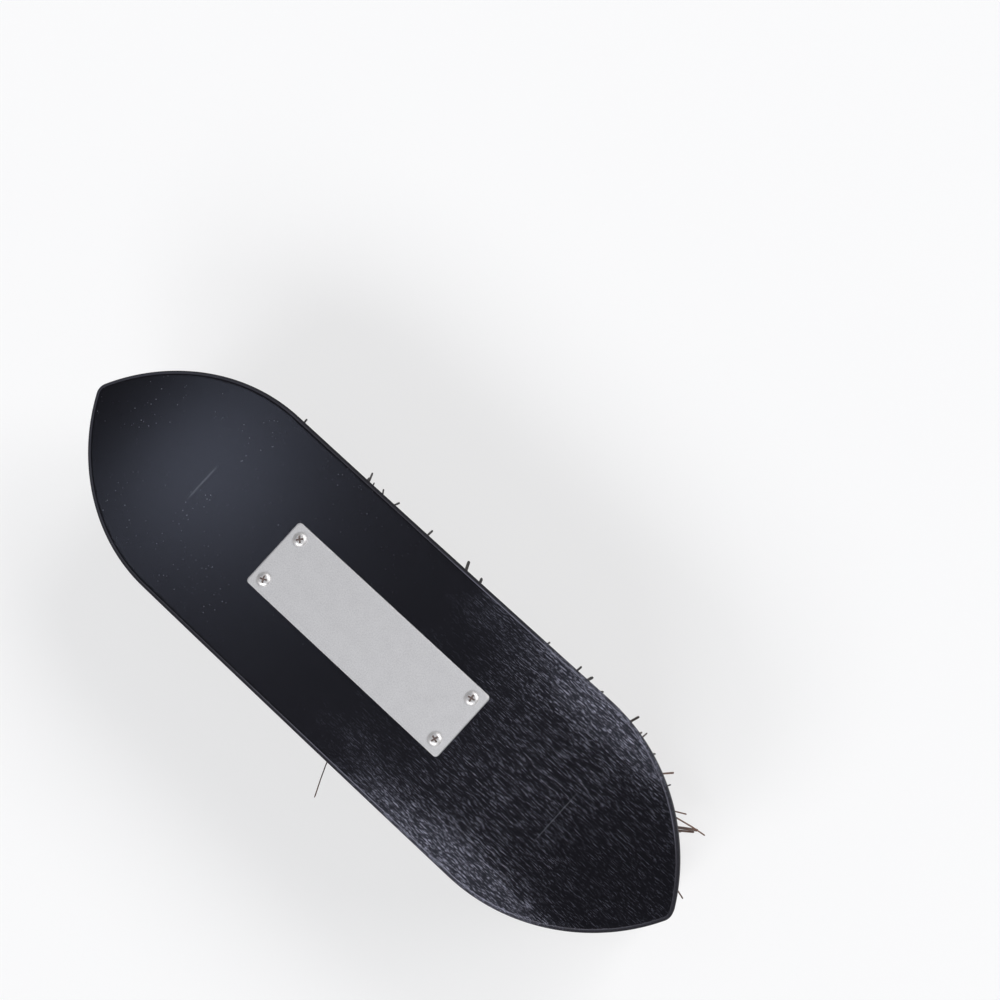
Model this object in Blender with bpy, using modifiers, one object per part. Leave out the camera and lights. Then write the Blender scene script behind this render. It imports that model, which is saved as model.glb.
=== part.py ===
"""A root brush: a boat shaped wooden block with root fibre tufts under it and a metal plate on its back.

The brush lies as it is put down after use, on its bristle tips. X runs along the block, Y across it and
Z up, and the origin is on the ground under the middle of the block. All lengths are in metres.
"""

import math
import random

import bmesh
import bpy
from mathutils import Matrix

# The wooden block
BLOCK_LENGTH = 0.215
BLOCK_WIDTH = 0.0635
BLOCK_THICKNESS = 0.015
END_ARC_RADIUS = 0.0555
NOSE_RADIUS = 0.003
BACK_EDGE_ROUNDING = 0.0025
UNDERSIDE_EDGE_ROUNDING = 0.001
ARC_STEPS = 14
CORNER_STEPS = 5
EDGE_STEPS = 4

# The bed in the block's underside that the rows of tufts are set in
BED_MARGIN = 0.005
BED_DEPTH = 0.004
BED_END_HALF_WIDTH = 0.0025
SEAT_GAP = 0.0003

# The tufts of root fibre
BRISTLE_HEIGHT = 0.046
ROWS_TO_A_SIDE = 10
TUFT_PITCH = 0.0112
TUFT_MARGIN = 0.0095
STRAND_RADIUS = 0.0008
STRAND_EMBED = 0.0015
STRAND_GAP = 0.0004
STRANDS_AROUND = 4
TUFT_TURN = math.radians(20)
SIDE_SPLAY = 0.004
END_SPLAY = 0.0145
END_REACH = 0.0035
SIDE_INSET = 0.0008
TIP_WANDER = 0.0005
TIP_UNEVENNESS = 0.003
TRIM_DEPTH = 0.0005
FIBRE_SEED = 7

# The name plate and its screws
PLATE_LENGTH = 0.0714
PLATE_WIDTH = 0.0218
PLATE_THICKNESS = 0.001
PLATE_CORNER_RADIUS = 0.0014
PLATE_EDGE_BEVEL = 0.0003
PLATE_EDGE_STEPS = 2
PLATE_OFFSET = -0.0013
SCREW_INSET = 0.0036
SCREW_HEAD_RADIUS = 0.00195
SCREW_HEAD_HEIGHT = 0.0013
SCREW_RIM_HEIGHT = 0.0003
SCREW_SHANK_RADIUS = 0.001
SCREW_LENGTH = 0.0085
SCREW_POINT_LENGTH = 0.002
SCREW_TURN = math.radians(25)
SCREW_HOLE_CLEARANCE = 0.0003
RECESS_LENGTH = 0.0021
RECESS_WIDTH = 0.0005
RECESS_DEPTH = 0.0008
RECESS_TAPER = 0.5
DOME_STEPS = 5
ROUND_STEPS = 20

# How close two points or two heights are to count as one, and how sharp an edge stays sharp in the shading
SAME_PLACE = 1e-6
SHARP_ANGLE = math.radians(40)

# Heights that follow from the sizes above
UNDERSIDE = BRISTLE_HEIGHT
BACK = UNDERSIDE + BLOCK_THICKNESS
PLATE_BOTTOM = BACK + SEAT_GAP
PLATE_TOP = PLATE_BOTTOM + PLATE_THICKNESS
SCREW_SEAT = PLATE_TOP + SEAT_GAP

# Where the straight sides of the block meet its end arcs
ARC_CENTRE_Y = END_ARC_RADIUS - BLOCK_WIDTH / 2
NOSE_CENTRE_X = BLOCK_LENGTH / 2 - NOSE_RADIUS
ARC_CENTRE_X = NOSE_CENTRE_X - math.sqrt((END_ARC_RADIUS - NOSE_RADIUS) ** 2 - ARC_CENTRE_Y**2)

# Where the bed is cut off, so narrow, and the pitch of the rows that share its length out
BED_ARC_RADIUS = END_ARC_RADIUS - BED_MARGIN
BED_REACH = ARC_CENTRE_X + math.sqrt(BED_ARC_RADIUS**2 - (ARC_CENTRE_Y + BED_END_HALF_WIDTH) ** 2)
ROW_PITCH = BED_REACH / (ROWS_TO_A_SIDE + 0.5)

# How far a tuft's outer strands stand from its middle, at their roots and at their tips, half way to the next
ROOT_SPREAD = 2 * STRAND_RADIUS + STRAND_GAP
TIP_SPREAD = min(ROW_PITCH / 2, TUFT_PITCH / 2 - STRAND_RADIUS)


def clear_scene():
    for obj in list(bpy.data.objects):
        bpy.data.objects.remove(obj, do_unlink=True)


def new_collection(name):
    made = bpy.data.collections.new(name)
    bpy.context.scene.collection.children.link(made)
    return made


def material(name, colour, roughness, metallic):
    made = bpy.data.materials.new(name)
    made.use_nodes = True
    shader = made.node_tree.nodes["Principled BSDF"]
    shader.inputs["Base Color"].default_value = (*colour, 1.0)
    shader.inputs["Roughness"].default_value = roughness
    shader.inputs["Metallic"].default_value = metallic
    return made


def add_object(name, mesh, collection, parent=None, finish=None):
    obj = bpy.data.objects.new(name, mesh)
    collection.objects.link(obj)
    obj.parent = parent
    if finish:
        mesh.materials.append(finish)
    return obj


def add_cutter(name, mesh, collection):
    obj = add_object(name, mesh, collection)
    obj.hide_render = True
    obj.display_type = "WIRE"
    return obj


def add_boolean(obj, other, operation):
    cut = obj.modifiers.new(f"{operation.lower()}_{other.name}", "BOOLEAN")
    cut.operation = operation
    cut.solver = "EXACT"
    cut.object = other


def mesh_from(bm, name):
    """A mesh from the bmesh, with its faces pointing out and its round stretches shaded smooth."""
    mesh = bpy.data.meshes.new(name)
    bmesh.ops.recalc_face_normals(bm, faces=bm.faces)
    bm.to_mesh(mesh)
    bm.free()
    mesh.shade_smooth()
    mesh.set_sharp_from_angle(angle=SHARP_ANGLE)
    return mesh


def extruded(name, outline, low, high):
    """A flat outline of (x, y) points raised from one height to another."""
    bm = bmesh.new()
    base = bm.faces.new([bm.verts.new((x, y, low)) for x, y in outline])
    grown = bmesh.ops.extrude_face_region(bm, geom=[base])
    lifted = [item for item in grown["geom"] if isinstance(item, bmesh.types.BMVert)]
    bmesh.ops.translate(bm, verts=lifted, vec=(0, 0, high - low))
    return mesh_from(bm, name)


def box(name, size, centre):
    bm = bmesh.new()
    place = Matrix.Translation(centre) @ Matrix.Diagonal((*size, 1))
    bmesh.ops.create_cube(bm, size=1, matrix=place)
    return mesh_from(bm, name)


def round_edges(obj, roundings, segments):
    """Bevels the edges that lie flat at each given height, by the radius given for that height."""
    widest = max(roundings.values())
    weights = obj.data.attributes.new("bevel_weight_edge", "FLOAT", "EDGE")
    points = obj.data.vertices
    for edge in obj.data.edges:
        first, second = (points[index].co.z for index in edge.vertices)
        for height, radius in roundings.items():
            if abs(first - height) < SAME_PLACE and abs(second - height) < SAME_PLACE:
                weights.data[edge.index].value = radius / widest
    bevel = obj.modifiers.new("round_edges", "BEVEL")
    bevel.limit_method = "WEIGHT"
    bevel.width = widest
    bevel.segments = segments


def half_width(x, inset=0.0):
    """Half the block's width at x, from its sides and end arcs, all moved inwards by the inset."""
    past = max(0.0, abs(x) - ARC_CENTRE_X)
    radius = END_ARC_RADIUS - inset
    return math.sqrt(max(0.0, radius**2 - past**2)) - ARC_CENTRE_Y


def mirrored_round(quarter):
    """A closed outline from its quarter, which runs from the X axis to the Y axis."""
    left = [(-x, y) for x, y in reversed(quarter)]
    upper = quarter + left
    lower = [(x, -y) for x, y in reversed(upper)]
    outline = []
    for point in upper + lower:
        if not outline or math.dist(point, outline[-1]) > SAME_PLACE:
            outline.append(point)
    if math.dist(outline[0], outline[-1]) <= SAME_PLACE:
        outline.pop()
    return outline


def block_outline():
    """Straight sides, an arc to each end from either side, and a small round nose where the arcs meet."""
    touch = math.atan2(ARC_CENTRE_Y, NOSE_CENTRE_X - ARC_CENTRE_X)
    quarter = []
    for step in range(CORNER_STEPS + 1):
        turn = touch * step / CORNER_STEPS
        quarter.append((NOSE_CENTRE_X + NOSE_RADIUS * math.cos(turn), NOSE_RADIUS * math.sin(turn)))
    for step in range(1, ARC_STEPS + 1):
        turn = touch + (math.pi / 2 - touch) * step / ARC_STEPS
        x = ARC_CENTRE_X + END_ARC_RADIUS * math.cos(turn)
        quarter.append((x, END_ARC_RADIUS * math.sin(turn) - ARC_CENTRE_Y))
    return mirrored_round(quarter)


def bed_outline(inset, reach):
    """The block's outline moved inwards, and cut off square at each end."""
    quarter = [(reach, half_width(reach, inset))]
    for step in range(1, ARC_STEPS + 1):
        x = reach + (ARC_CENTRE_X - reach) * step / ARC_STEPS
        quarter.append((x, half_width(x, inset)))
    return mirrored_round(quarter)


def screw_places():
    """The screws' places on the back, one near each corner of the plate."""
    across = PLATE_WIDTH / 2 - SCREW_INSET
    along = PLATE_LENGTH / 2 - SCREW_INSET
    return [(PLATE_OFFSET + i * along, j * across) for i in (-1, 1) for j in (-1, 1)]


def screw_hole_cutter(name, low, high, cutters):
    """Four upright cylinders, a little wider than the screws' shanks."""
    bm = bmesh.new()
    for x, y in screw_places():
        bmesh.ops.create_cone(
            bm,
            cap_ends=True,
            segments=ROUND_STEPS,
            radius1=SCREW_SHANK_RADIUS + SCREW_HOLE_CLEARANCE,
            radius2=SCREW_SHANK_RADIUS + SCREW_HOLE_CLEARANCE,
            depth=high - low,
            matrix=Matrix.Translation((x, y, (low + high) / 2)),
        )
    return add_cutter(name, mesh_from(bm, name), cutters)


def make_block(collection, cutters, parent, finish):
    """The wooden block, with the bed for the tufts in its underside and a pilot hole for each screw."""
    mesh = extruded("brush_block", block_outline(), UNDERSIDE, BACK)
    block = add_object("brush_block", mesh, collection, parent, finish)
    back_rounding = min(BACK_EDGE_ROUNDING, NOSE_RADIUS - SEAT_GAP)
    underside_rounding = min(UNDERSIDE_EDGE_ROUNDING, NOSE_RADIUS - SEAT_GAP)
    round_edges(block, {BACK: back_rounding, UNDERSIDE: underside_rounding}, EDGE_STEPS)
    outline = bed_outline(BED_MARGIN, BED_REACH)
    bed = extruded("bed_cutter", outline, UNDERSIDE - BED_DEPTH, UNDERSIDE + BED_DEPTH)
    add_boolean(block, add_cutter("bed_cutter", bed, cutters), "DIFFERENCE")
    screw_tip = SCREW_SEAT - SCREW_LENGTH
    pilots = screw_hole_cutter("pilot_cutter", screw_tip - SEAT_GAP, BACK + SEAT_GAP, cutters)
    add_boolean(block, pilots, "DIFFERENCE")
    return block


def make_plate(collection, cutters, parent, finish):
    """The metal plate, a rectangle with round corners and a fine bevel along its upper edge."""
    corner_x = PLATE_LENGTH / 2 - PLATE_CORNER_RADIUS
    corner_y = PLATE_WIDTH / 2 - PLATE_CORNER_RADIUS
    quarter = [(PLATE_LENGTH / 2, 0.0)]
    for step in range(CORNER_STEPS + 1):
        turn = math.pi / 2 * step / CORNER_STEPS
        x = corner_x + PLATE_CORNER_RADIUS * math.cos(turn)
        quarter.append((x, corner_y + PLATE_CORNER_RADIUS * math.sin(turn)))
    outline = [(x + PLATE_OFFSET, y) for x, y in mirrored_round(quarter)]
    mesh = extruded("name_plate", outline, PLATE_BOTTOM, PLATE_TOP)
    plate = add_object("name_plate", mesh, collection, parent, finish)
    round_edges(plate, {PLATE_TOP: min(PLATE_EDGE_BEVEL, PLATE_CORNER_RADIUS / 2)}, PLATE_EDGE_STEPS)
    holes = screw_hole_cutter("plate_hole_cutter", BACK, SCREW_SEAT, cutters)
    add_boolean(plate, holes, "DIFFERENCE")
    return plate


def screw_profile():
    """Half of the screw's section, from the top of its head down to its point."""
    dome = SCREW_HEAD_HEIGHT - SCREW_RIM_HEIGHT
    profile = []
    for step in range(DOME_STEPS + 1):
        turn = math.pi / 2 * step / DOME_STEPS
        profile.append((SCREW_HEAD_RADIUS * math.sin(turn), SCREW_RIM_HEIGHT + dome * math.cos(turn)))
    profile.append((SCREW_HEAD_RADIUS, 0.0))
    profile.append((SCREW_SHANK_RADIUS, 0.0))
    profile.append((SCREW_SHANK_RADIUS, SCREW_POINT_LENGTH - SCREW_LENGTH))
    profile.append((0.0, -SCREW_LENGTH))
    return profile


def recess_wing(name, place, turn, cutters):
    """One wing of the cross recess: an upright blade that narrows towards its foot."""
    mesh = box(name, (RECESS_LENGTH, RECESS_WIDTH, 2 * RECESS_DEPTH), (0, 0, 0))
    for vertex in mesh.vertices:
        if vertex.co.z < 0:
            vertex.co.x *= RECESS_TAPER
    wing = add_cutter(name, mesh, cutters)
    wing.location = (*place, SCREW_SEAT + SCREW_HEAD_HEIGHT)
    wing.rotation_euler.z = turn
    return wing


def make_screw(name, place, turn, collection, cutters, parent, finish):
    """A pan head screw: a turned head and shank, with a cross recess cut in the head."""
    bm = bmesh.new()
    points = [bm.verts.new((x, 0, z)) for x, z in screw_profile()]
    for upper, lower in zip(points, points[1:]):
        bm.edges.new((upper, lower))
    mesh = bpy.data.meshes.new(name)
    bm.to_mesh(mesh)
    bm.free()
    screw = add_object(name, mesh, collection, parent, finish)
    screw.location = (*place, SCREW_SEAT)
    turned = screw.modifiers.new("turn_profile", "SCREW")
    turned.axis = "Z"
    turned.steps = ROUND_STEPS
    turned.render_steps = ROUND_STEPS
    turned.use_merge_vertices = True
    turned.merge_threshold = SAME_PLACE
    turned.use_smooth_shade = True
    add_boolean(screw, recess_wing(f"{name}_recess_a", place, turn, cutters), "DIFFERENCE")
    add_boolean(screw, recess_wing(f"{name}_recess_b", place, turn + math.pi / 2, cutters), "DIFFERENCE")
    return screw


def tuft_places(row):
    """The tufts' places across one row: four and five in turn along the straight part, fewer to the ends."""
    x = row * ROW_PITCH
    room = max(0.0, half_width(x, TUFT_MARGIN))
    count = round(2 * room / TUFT_PITCH) + 1
    if abs(x) < ARC_CENTRE_X and row % 2 == 0:
        count -= 1
        room -= TUFT_PITCH / 2
    if count < 2:
        return [(x, 0.0)]
    return [(x, room * (2 * k / (count - 1) - 1)) for k in range(count)]


def tip_of(tuft, offset, wander):
    """Where a strand ends: fibres fan out within their tuft, and outer tufts lean out over the edge."""
    x, y = tuft
    lean_x = END_SPLAY * (x / (BLOCK_LENGTH / 2)) ** 3
    lean_y = SIDE_SPLAY * y / (BLOCK_WIDTH / 2 - TUFT_MARGIN)
    fan = TIP_SPREAD / ROOT_SPREAD
    most_x = BLOCK_LENGTH / 2 + END_REACH
    most_y = BLOCK_WIDTH / 2 - SIDE_INSET - STRAND_RADIUS
    tip_x = x + lean_x + fan * offset[0] + wander[0]
    tip_y = y + lean_y + fan * offset[1] + wander[1]
    return min(most_x, max(-most_x, tip_x)), min(most_y, max(-most_y, tip_y))


def add_strand(bm, root, tip, tip_height, turn):
    """One four sided fibre, from inside the block down to a level cut at its tip."""
    top = UNDERSIDE + STRAND_EMBED
    depth = top - tip_height
    lean = Matrix.Identity(4)
    lean[0][2] = (root[0] - tip[0]) / depth
    lean[1][2] = (root[1] - tip[1]) / depth
    place = Matrix.Translation((*root, top)) @ lean @ Matrix.Translation((0, 0, -depth / 2))
    bmesh.ops.create_cone(
        bm,
        cap_ends=True,
        segments=4,
        radius1=STRAND_RADIUS,
        radius2=STRAND_RADIUS,
        depth=depth,
        matrix=place @ Matrix.Rotation(turn, 4, "Z"),
    )


def strands_of_row(name, row, fibres, cutters):
    """All the strands of one row: each tuft has four about its middle and then one in it."""
    bm = bmesh.new()
    for tuft in tuft_places(row):
        for strand in range(STRANDS_AROUND + 1):
            angle = TUFT_TURN + 2 * math.pi * strand / STRANDS_AROUND
            out = 0.0 if strand == STRANDS_AROUND else ROOT_SPREAD
            offset = (out * math.cos(angle), out * math.sin(angle))
            wander = (fibres.uniform(-TIP_WANDER, TIP_WANDER), fibres.uniform(-TIP_WANDER, TIP_WANDER))
            root = (tuft[0] + offset[0], tuft[1] + offset[1])
            tip_height = max(0.0, fibres.uniform(-TRIM_DEPTH, TIP_UNEVENNESS))
            add_strand(bm, root, tip_of(tuft, offset, wander), tip_height, fibres.uniform(0, math.pi / 2))
    return add_cutter(name, mesh_from(bm, name), cutters)


def make_tuft_row(name, row, bed, fibres, collection, cutters, parent, finish):
    """One cross row of tufts with the slice of the block that they are set in."""
    slice_size = (ROW_PITCH - SEAT_GAP, BLOCK_WIDTH, 3 * BED_DEPTH)
    mesh = box(name, slice_size, (row * ROW_PITCH, 0, UNDERSIDE))
    tufts = add_object(name, mesh, collection, parent, finish)
    add_boolean(tufts, bed, "INTERSECT")
    add_boolean(tufts, strands_of_row(f"{name}_strands", row, fibres, cutters), "UNION")
    return tufts


clear_scene()
brush = new_collection("root_brush")
cutter_collection = new_collection("cutters")
lacquer = material("black_lacquer", (0.012, 0.013, 0.017), 0.35, 0.0)
plate_metal = material("satin_plate", (0.56, 0.57, 0.60), 0.42, 1.0)
screw_metal = material("screw_steel", (0.62, 0.60, 0.58), 0.30, 1.0)
root_fibre = material("root_fibre", (0.075, 0.036, 0.022), 0.60, 0.0)
origin = bpy.data.objects.new("brush_origin", None)
brush.objects.link(origin)

make_block(brush, cutter_collection, origin, lacquer)
make_plate(brush, cutter_collection, origin, plate_metal)
for number, screw_place in enumerate(screw_places(), start=1):
    screw_name = f"plate_screw_{number}"
    make_screw(screw_name, screw_place, number * SCREW_TURN, brush, cutter_collection, origin, screw_metal)

bed_top = UNDERSIDE + BED_DEPTH - SEAT_GAP
bed_shape = bed_outline(BED_MARGIN + SEAT_GAP, BED_REACH - SEAT_GAP)
bed_solid = add_cutter("bed_solid", extruded("bed_solid", bed_shape, UNDERSIDE, bed_top), cutter_collection)
fibre_choice = random.Random(FIBRE_SEED)
for number, row_index in enumerate(range(-ROWS_TO_A_SIDE, ROWS_TO_A_SIDE + 1), start=1):
    row_name = f"tuft_row_{number:02d}"
    make_tuft_row(row_name, row_index, bed_solid, fibre_choice, brush, cutter_collection, origin, root_fibre)
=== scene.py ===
"""The look of a root brush: a lacquered block, a bare metal plate, four screws and tufts of root fibre.

X runs along the block, Y across it, and Z up from the floor under the fibres' tips. Lengths are in metres.
"""

import math

import bmesh
import bpy
import numpy as np
from mathutils import Matrix, Vector


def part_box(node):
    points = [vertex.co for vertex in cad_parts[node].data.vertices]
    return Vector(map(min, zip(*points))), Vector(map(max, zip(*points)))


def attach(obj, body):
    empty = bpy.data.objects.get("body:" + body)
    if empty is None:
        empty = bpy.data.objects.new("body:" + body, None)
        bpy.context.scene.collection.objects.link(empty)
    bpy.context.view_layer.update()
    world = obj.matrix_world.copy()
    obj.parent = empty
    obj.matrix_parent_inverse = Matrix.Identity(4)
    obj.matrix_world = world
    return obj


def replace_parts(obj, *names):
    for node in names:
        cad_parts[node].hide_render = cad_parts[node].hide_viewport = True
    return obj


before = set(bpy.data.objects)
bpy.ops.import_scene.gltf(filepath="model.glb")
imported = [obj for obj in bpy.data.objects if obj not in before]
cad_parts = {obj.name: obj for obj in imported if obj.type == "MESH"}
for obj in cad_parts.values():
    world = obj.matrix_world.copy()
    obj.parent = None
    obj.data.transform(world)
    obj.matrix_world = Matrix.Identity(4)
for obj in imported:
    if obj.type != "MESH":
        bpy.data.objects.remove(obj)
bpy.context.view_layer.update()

# The camera looks down on the table from beyond the right end of the brush, with the brush turned across
# the picture. The table is a plain white sheet. The light is that of a white room with a dim ceiling and
# soft lamps to both sides.
CAMERA_PLACE = Vector((0.0992, 0.0295, 0.5943))
CAMERA_AIM = Vector((0.0, 0.0519, 0.061))
PICTURE_UP = math.radians(132.56)
CAMERA_LENS = 72.0
CAMERA_NEAR = 0.01
FLOOR_HALF_SIZE = 15.0
FLOOR_WHITE = (0.92, 0.92, 0.92, 1.0)
FLOOR_SHADE = (0.90, 0.90, 0.905, 1.0)
FLOOR_GLOW = 0.55
FLOOR_CLOUDS = 6.0
FLOOR_ROUGHNESS = 0.65
WALL_TOP = math.sin(math.radians(12))
WALL_LIGHT = (0.6, 0.6, 0.6, 1.0)
CEILING_LIGHT = (0.142, 0.143, 0.160, 1.0)
CEILING_FALL = 3.0
LAMPS = (
    ("lamp_far_side", 88, 44, 26, 1.00, (1.0, 1.0, 1.0)),
    ("lamp_far_end", 52, 42, 26, 0.84, (1.0, 1.0, 1.0)),
    ("lamp_near_side", -88, 44, 26, 0.95, (0.98, 0.99, 1.0)),
    ("lamp_near_end", -52, 42, 26, 0.79, (0.98, 0.99, 1.0)),
    ("lamp_middle_glow", 195, 77, 14, 0.0060, (0.90, 0.93, 1.0)),
    ("lamp_left_glow", 188.4, 72.0, 4, 0.029, (0.76, 0.88, 1.0)),
)


def add_node(tree, kind, inputs, **options):
    """Adds one shader node with its options, and gives each named input a value or another node's output."""
    made = tree.nodes.new("ShaderNode" + kind)
    for option, choice in options.items():
        setattr(made, option, choice)
    for key, given in inputs.items():
        if isinstance(given, bpy.types.NodeSocket):
            tree.links.new(given, made.inputs[key])
        else:
            made.inputs[key].default_value = given
    return made


def span(tree, value, low, high, to_low=0.0, to_high=1.0, smooth=True):
    """A value carried from one range to another, along an S curve or a straight line."""
    reach = {"Value": value, "From Min": low, "From Max": high, "To Min": to_low, "To Max": to_high}
    kind = "SMOOTHSTEP" if smooth else "LINEAR"
    return add_node(tree, "MapRange", reach, interpolation_type=kind).outputs["Result"]


def times(tree, first, *others):
    """The product of two values or more."""
    for other in others:
        first = add_node(tree, "Math", {0: first, 1: other}, operation="MULTIPLY").outputs[0]
    return first


def most(tree, first, *others):
    """The greatest of two values or more."""
    for other in others:
        first = add_node(tree, "Math", {0: first, 1: other}, operation="MAXIMUM").outputs[0]
    return first


def mixed(tree, share, first, second):
    """One colour turned into another by a share from 0 to 1."""
    return add_node(tree, "MixRGB", {"Fac": share, "Color1": first, "Color2": second}).outputs["Color"]


def clouds(tree, places, scale, detail):
    """Cloudy noise about a half, with so many features to the metre."""
    return add_node(tree, "TexNoise", {"Vector": places, "Scale": scale, "Detail": detail}).outputs["Fac"]


def new_finish(name):
    """A material, its node tree, its Principled shader and the output for a point's place on the piece."""
    made = bpy.data.materials.new(name)
    made.use_nodes = True
    tree = made.node_tree
    places = add_node(tree, "TexCoord", {}).outputs["Object"]
    return made, tree, tree.nodes["Principled BSDF"], places


def new_piece(name, points, faces, finish, smooth=True):
    """A mesh object from an array of points and a list of faces, at the origin, with its finish."""
    mesh = bpy.data.meshes.new(name)
    mesh.from_pydata(points.reshape(-1, 3).tolist(), [], faces)
    mesh.polygons.foreach_set("use_smooth", np.full(len(mesh.polygons), smooth))
    mesh.materials.append(finish)
    piece = bpy.data.objects.new(name, mesh)
    bpy.context.scene.collection.objects.link(piece)
    return piece


def table_finish():
    """White laminate, half matt: a faint cloud of two near whites, and a glow that keeps its shadows pale."""
    made, tree, shader, places = new_finish("white_table")
    tint = mixed(tree, clouds(tree, places, FLOOR_CLOUDS, detail=3.0), FLOOR_WHITE, FLOOR_SHADE)
    tree.links.new(tint, shader.inputs["Base Color"])
    shader.inputs["Roughness"].default_value = FLOOR_ROUGHNESS
    rays = add_node(tree, "LightPath", {}).outputs
    seen = most(tree, rays["Is Camera Ray"], rays["Is Glossy Ray"], rays["Is Transmission Ray"])
    glow = add_node(tree, "Emission", {"Color": (1.0, 1.0, 1.0, 1.0), "Strength": 1.0}).outputs["Emission"]
    both = add_node(tree, "MixShader", {0: times(tree, seen, FLOOR_GLOW), 1: shader.outputs["BSDF"], 2: glow})
    tree.links.new(both.outputs["Shader"], tree.nodes["Material Output"].inputs["Surface"])
    return made


def light_the_room():
    """Light from all round: white walls near the horizon, which fall to the dim ceiling by a power."""
    world = bpy.data.worlds.new("white_room")
    bpy.context.scene.world = world
    world.use_nodes = True
    tree = world.node_tree
    direction = add_node(tree, "TexCoord", {}).outputs["Generated"]
    height = add_node(tree, "SeparateXYZ", {"Vector": direction}).outputs["Z"]
    share = span(tree, height, WALL_TOP, 1.0, 1.0, 0.0, smooth=False)
    share = add_node(tree, "Math", {0: share, 1: CEILING_FALL}, operation="POWER").outputs[0]
    light = mixed(tree, share, CEILING_LIGHT, WALL_LIGHT)
    tree.links.new(light, tree.nodes["Background"].inputs["Color"])


def hang_lamp(name, azimuth, elevation, width, strength, colour):
    """A soft lamp far off, at an angle from +X and a height over the horizon, as wide as the given angle."""
    lamp = bpy.data.lights.new(name, "SUN")
    lamp.angle = math.radians(width)
    lamp.energy = strength
    lamp.color = colour
    turn, lift = math.radians(azimuth), math.radians(elevation)
    towards = Vector((math.cos(turn) * math.cos(lift), math.sin(turn) * math.cos(lift), math.sin(lift)))
    hung = bpy.data.objects.new(name, lamp)
    hung.rotation_euler = towards.to_track_quat("Z", "Y").to_euler()
    bpy.context.scene.collection.objects.link(hung)


def place_camera():
    """Aims the camera, with the picture's upright direction given as an angle in plan."""
    ahead = (CAMERA_AIM - CAMERA_PLACE).normalized()
    up = Vector((math.cos(PICTURE_UP), math.sin(PICTURE_UP), 0.0))
    right = ahead.cross(up).normalized()
    turned = Matrix((right, right.cross(ahead), -ahead)).transposed().to_4x4()
    camera = bpy.data.objects.new("camera", bpy.data.cameras.new("camera"))
    camera.data.lens = CAMERA_LENS
    camera.data.clip_start = CAMERA_NEAR
    camera.matrix_world = Matrix.Translation(CAMERA_PLACE) @ turned
    bpy.context.scene.collection.objects.link(camera)
    bpy.context.scene.camera = camera


place_camera()
light_the_room()
for lamp_words in LAMPS:
    hang_lamp(*lamp_words)
floor_corners = np.array([(-1, -1, 0), (1, -1, 0), (1, 1, 0), (-1, 1, 0)]) * FLOOR_HALF_SIZE
new_piece("table_top", floor_corners, [(0, 1, 2, 3)], table_finish(), smooth=False)
bpy.context.scene.view_settings.view_transform = "Standard"

# The block is one piece of close grained wood, shaped like a boat in plan, with its edges eased by hand and
# its back a little lower at the ends. It is drilled from below for the tufts and from above for the screws,
# and lacquered black all over, holes as well.
BLOCK_LOW, BLOCK_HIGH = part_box("brush_block")
HALF_LENGTH = BLOCK_HIGH.x
HALF_WIDTH = BLOCK_HIGH.y
UNDERSIDE = BLOCK_LOW.z
BACK = BLOCK_HIGH.z
END_ARC = 0.0555
NOSE = 0.004
EDGE_RADIUS = 0.0018
EDGE_TURN = math.radians(50)
EDGE_LOWER_RADIUS = 0.0004
LOWER_EDGE = 0.0012
END_CROWN = 0.0008
ENDS_START = 0.06
END_SHIFTS = (0.0010, 0.0003)
END_PINCHES = (0.06, 0.02)
BEND = 0.0005
NOSE_STEPS, ARC_STEPS, SIDE_STEPS = 8, 46, 26
BACK_ROWS, EDGE_ROWS, WALL_ROWS, LOWER_EDGE_ROWS, UNDER_ROWS = 16, 10, 5, 5, 8
ARC_CENTRE_Y = END_ARC - HALF_WIDTH
ARC_CENTRE_X = HALF_LENGTH - NOSE - math.sqrt((END_ARC - NOSE) ** 2 - ARC_CENTRE_Y**2)
MERGE_DISTANCE = 1e-7
SHARP_EDGE = 32

# Rows of tuft holes lie across the block at an even pitch, as far as a margin inside its ends. Screw holes
# lie at one inset from the plate's corners.
ROWS_TO_A_SIDE = 10
ROW_MARGIN = 0.005
LAST_ROW_HALF_WIDTH = 0.0025
TUFT_MARGIN = 0.0095
TUFT_PITCH = 0.0112
TUFT_HOLE = 0.003
TUFT_HOLE_DEPTH = 0.009
PLATE_LOW, PLATE_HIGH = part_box("name_plate")
SCREW_INSET = 0.0036
PILOT_HOLE = 0.00105
PILOT_DEPTH = 0.0085
HOLE_SIDES = 28
ROW_REACH = ARC_CENTRE_X + math.sqrt((END_ARC - ROW_MARGIN) ** 2 - (ARC_CENTRE_Y + LAST_ROW_HALF_WIDTH) ** 2)
ROW_PITCH = ROW_REACH / (ROWS_TO_A_SIDE + 0.5)

# Colours of the lacquer and of the grain under it, and the lacquer's roughness: where it is whole, where it
# is worn through, and what its edges add to it. The grain's pale colour also paints glints, sheen and an edge
# highlight that stand for the lamps' light.
LACQUER_BLACK = (0.0013, 0.0013, 0.0016, 1.0)
LACQUER_TINT = (0.88, 0.85, 1.0, 1.0)
GRAIN_AND_PAINTED_GLINT = (0.295, 0.303, 0.390, 1.0)
POLISHED, RUBBED, EDGE_DULLS = 0.19, 0.34, 0.66
DULL_FROM = (0.88, 0.985)
GRAIN_RELIEF = 0.00006

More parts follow.
